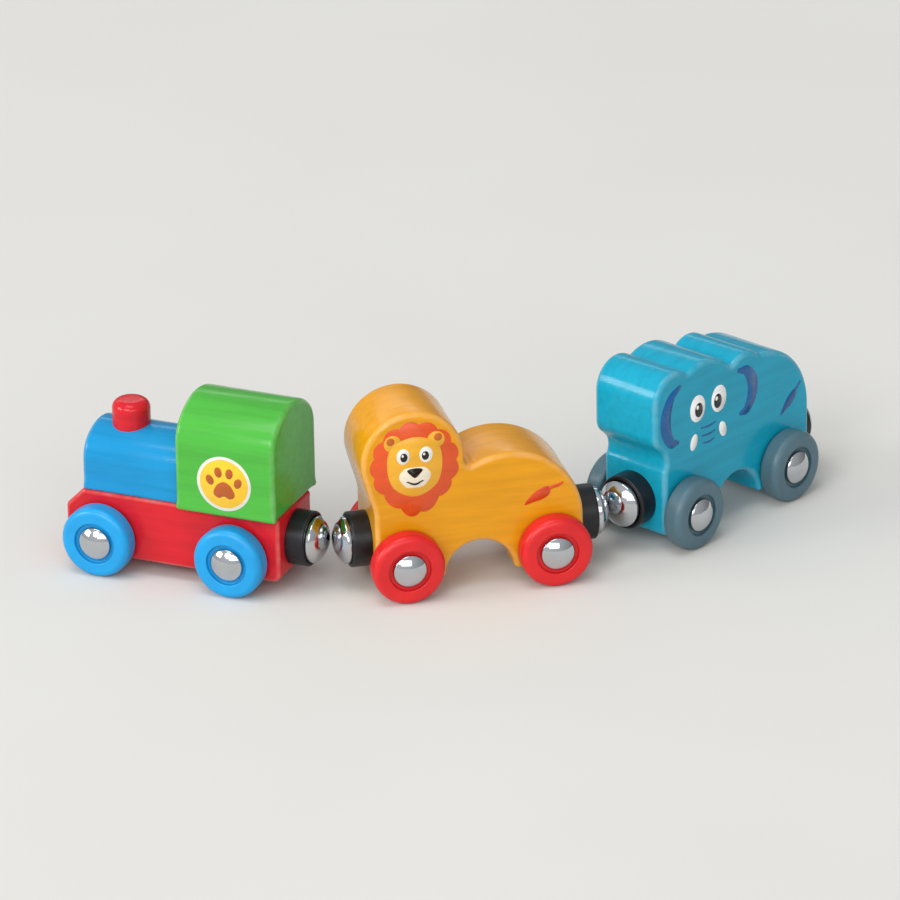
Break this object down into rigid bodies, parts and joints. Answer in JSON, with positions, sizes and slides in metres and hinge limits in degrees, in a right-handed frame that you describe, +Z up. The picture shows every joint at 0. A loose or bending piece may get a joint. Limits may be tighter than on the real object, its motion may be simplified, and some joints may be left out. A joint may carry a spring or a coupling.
{
  "type": "wooden toy train",
  "caption": "Small wooden toy train: an engine with chimney and cab pulls a lion-shaped and an elephant-shaped wagon on free-turning wheels, joined by domed magnet couplers.",
  "frame": {"origin": "on the ground, in the middle of the train's footprint at rest", "axes": "+X from the locomotive towards the elephant wagon, along the lion wagon; -Y to the train's left side; +Z up"},
  "size_m": [0.2246, 0.0788, 0.056],
  "materials": {
    "red_paint": "glossy paint on wood",
    "blue_paint": "glossy paint on wood",
    "green_paint": "glossy paint on wood",
    "amber_paint": "glossy paint on wood",
    "teal_paint": "glossy paint on wood",
    "bare_wood": "bare turned wood",
    "sky_blue_wheels": "moulded, semi-gloss",
    "red_wheels": "moulded, semi-gloss",
    "grey_wheels": "moulded, semi-gloss",
    "black_plastic": "moulded, satin",
    "chrome": "bright plating",
    "steel": "drawn wire"
  },
  "bodies": {
    "lion_wagon": {"lion_body": "amber_paint", "lion_front_axle": "steel", "lion_rear_axle": "steel", "lion_hub_caps": "chrome", "lion_front_cup": "black_plastic", "lion_rear_cup": "black_plastic", "lion_front_magnet": "chrome", "lion_rear_magnet": "chrome", "lion_coupler_screws": "steel"},
    "locomotive": {"loco_chassis": "red_paint", "loco_boiler": "blue_paint", "loco_cab": "green_paint", "loco_chimney": "red_paint", "loco_dowels": "bare_wood", "loco_front_axle": "steel", "loco_rear_axle": "steel", "loco_hub_caps": "chrome", "loco_rear_cup": "black_plastic", "loco_rear_magnet": "chrome", "loco_coupler_screw": "steel"},
    "elephant_wagon": {"elephant_body": "teal_paint", "elephant_front_axle": "steel", "elephant_rear_axle": "steel", "elephant_hub_caps": "chrome", "elephant_front_cup": "black_plastic", "elephant_rear_cup": "black_plastic", "elephant_front_magnet": "chrome", "elephant_rear_magnet": "chrome", "elephant_coupler_screws": "steel"},
    "loco_front_left_wheel": {"loco_front_left_wheel": "sky_blue_wheels"},
    "loco_front_right_wheel": {"loco_front_right_wheel": "sky_blue_wheels"},
    "loco_rear_left_wheel": {"loco_rear_left_wheel": "sky_blue_wheels"},
    "loco_rear_right_wheel": {"loco_rear_right_wheel": "sky_blue_wheels"},
    "lion_front_left_wheel": {"lion_front_left_wheel": "red_wheels"},
    "lion_front_right_wheel": {"lion_front_right_wheel": "red_wheels"},
    "lion_rear_left_wheel": {"lion_rear_left_wheel": "red_wheels"},
    "lion_rear_right_wheel": {"lion_rear_right_wheel": "red_wheels"},
    "elephant_front_left_wheel": {"elephant_front_left_wheel": "grey_wheels"},
    "elephant_front_right_wheel": {"elephant_front_right_wheel": "grey_wheels"},
    "elephant_rear_left_wheel": {"elephant_rear_left_wheel": "grey_wheels"},
    "elephant_rear_right_wheel": {"elephant_rear_right_wheel": "grey_wheels"}
  },
  "joints": [
    {"name": "locomotive_swing", "type": "hinge", "parent": "lion_wagon", "child": "locomotive", "pos_m": [-0.04151, -0.01963, 0.0143], "axis": [0, 0, 1], "range_deg": [-2.2, 75.8]},
    {"name": "elephant_wagon_swing", "type": "hinge", "parent": "lion_wagon", "child": "elephant_wagon", "pos_m": [0.04045, -0.01963, 0.0143], "axis": [0, 0, 1], "range_deg": [-73.5, 4.5]},
    {"name": "loco_front_left_wheel_spin", "type": "hinge", "parent": "locomotive", "child": "loco_front_left_wheel", "pos_m": [-0.10285, 0.00752, 0.0105], "axis": [0.599, 0.8007, 0], "continuous": true},
    {"name": "loco_front_right_wheel_spin", "type": "hinge", "parent": "locomotive", "child": "loco_front_right_wheel", "pos_m": [-0.08487, 0.03154, 0.0105], "axis": [0.599, 0.8007, 0], "continuous": true},
    {"name": "loco_rear_left_wheel_spin", "type": "hinge", "parent": "locomotive", "child": "loco_rear_left_wheel", "pos_m": [-0.07001, -0.01704, 0.0105], "axis": [0.599, 0.8007, 0], "continuous": true},
    {"name": "loco_rear_right_wheel_spin", "type": "hinge", "parent": "locomotive", "child": "loco_rear_right_wheel", "pos_m": [-0.05204, 0.00698, 0.0105], "axis": [0.599, 0.8007, 0], "continuous": true},
    {"name": "lion_front_left_wheel_spin", "type": "hinge", "parent": "lion_wagon", "child": "lion_front_left_wheel", "pos_m": [-0.02253, -0.03463, 0.0105], "axis": [0, 1, 0], "continuous": true},
    {"name": "lion_front_right_wheel_spin", "type": "hinge", "parent": "lion_wagon", "child": "lion_front_right_wheel", "pos_m": [-0.02253, -0.00463, 0.0105], "axis": [0, 1, 0], "continuous": true},
    {"name": "lion_rear_left_wheel_spin", "type": "hinge", "parent": "lion_wagon", "child": "lion_rear_left_wheel", "pos_m": [0.02047, -0.03463, 0.0105], "axis": [0, 1, 0], "continuous": true},
    {"name": "lion_rear_right_wheel_spin", "type": "hinge", "parent": "lion_wagon", "child": "lion_rear_right_wheel", "pos_m": [0.02047, -0.00463, 0.0105], "axis": [0, 1, 0], "continuous": true},
    {"name": "elephant_front_left_wheel_spin", "type": "hinge", "parent": "elephant_wagon", "child": "elephant_front_left_wheel", "pos_m": [0.06492, -0.02102, 0.0105], "axis": [-0.5664, 0.8241, 0], "continuous": true},
    {"name": "elephant_front_right_wheel_spin", "type": "hinge", "parent": "elephant_wagon", "child": "elephant_front_right_wheel", "pos_m": [0.04792, 0.0037, 0.0105], "axis": [-0.5664, 0.8241, 0], "continuous": true},
    {"name": "elephant_rear_left_wheel_spin", "type": "hinge", "parent": "elephant_wagon", "child": "elephant_rear_left_wheel", "pos_m": [0.10035, 0.00334, 0.0105], "axis": [-0.5664, 0.8241, 0], "continuous": true},
    {"name": "elephant_rear_right_wheel_spin", "type": "hinge", "parent": "elephant_wagon", "child": "elephant_rear_right_wheel", "pos_m": [0.08336, 0.02806, 0.0105], "axis": [-0.5664, 0.8241, 0], "continuous": true}
  ]
}
